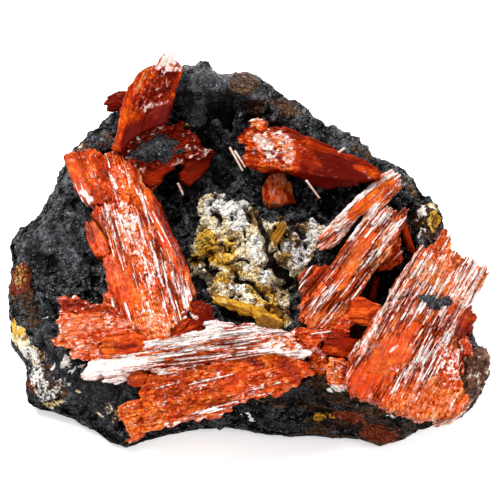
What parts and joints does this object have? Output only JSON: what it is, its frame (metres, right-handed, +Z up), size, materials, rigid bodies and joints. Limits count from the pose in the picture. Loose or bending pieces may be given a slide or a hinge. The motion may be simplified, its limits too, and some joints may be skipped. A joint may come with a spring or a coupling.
{
  "type": "crocoite on matrix",
  "caption": "Cabinet specimen of striated orange-red crocoite prisms lying on a lumpy block of black gossan with a pale boxwork patch; it rests on its flat trimmed back.",
  "frame": {"origin": "centre of the specimen's bounding box in plan, on the flat trimmed back it rests on", "axes": "+Z up out of the crystal side, +X along the specimen's length, -Y towards the low front edge"},
  "size_m": [0.0624, 0.0512, 0.0256],
  "materials": {
    "gossan": "rough, granular, sub-metallic glints",
    "black_crust": "drusy, glinting",
    "crocoite": "adamantine, striated",
    "crocoite_gem": "adamantine, glossy, translucent",
    "crocoite_pale": "silky",
    "ochre": "earthy",
    "brown_crust": "rough, earthy"
  },
  "bodies": {
    "root": {"matrix": "gossan", "crust_on_cross_prism": "black_crust", "crust_on_great_blade": "black_crust", "great_blade": "crocoite", "upper_right_prism": "crocoite", "right_bundle": "crocoite", "long_prism": "crocoite", "front_cluster": "crocoite", "cross_prism": "crocoite_gem", "tall_prism": "crocoite_gem", "twin_blade": "crocoite", "gem_prism": "crocoite_gem", "left_knob": "crocoite", "round_gem": "crocoite_gem", "dark_wedge": "crocoite_gem", "deep_red_block": "crocoite_gem", "left_rough_block": "crocoite", "left_gem": "crocoite", "middle_rough_block": "crocoite", "box_prism": "crocoite", "red_dome": "crocoite_gem", "lower_block": "crocoite", "inner_block": "crocoite", "side_shards": "crocoite", "lumpy_crystal": "crocoite", "brown_knob": "brown_crust", "pale_shard": "crocoite_pale", "left_sliver": "crocoite", "round_crystal": "crocoite", "side_knob": "crocoite", "hollow_crystal": "crocoite_gem", "hollow_strip": "crocoite_gem", "rear_nub": "crocoite_gem", "top_speck": "crocoite", "ochre_crystal": "ochre", "ochre_band": "ochre", "needle_1": "crocoite_pale", "needle_2": "crocoite_pale", "needle_3": "crocoite_pale", "needle_4": "crocoite_pale", "needle_5": "crocoite_pale"}
  },
  "joints": []
}
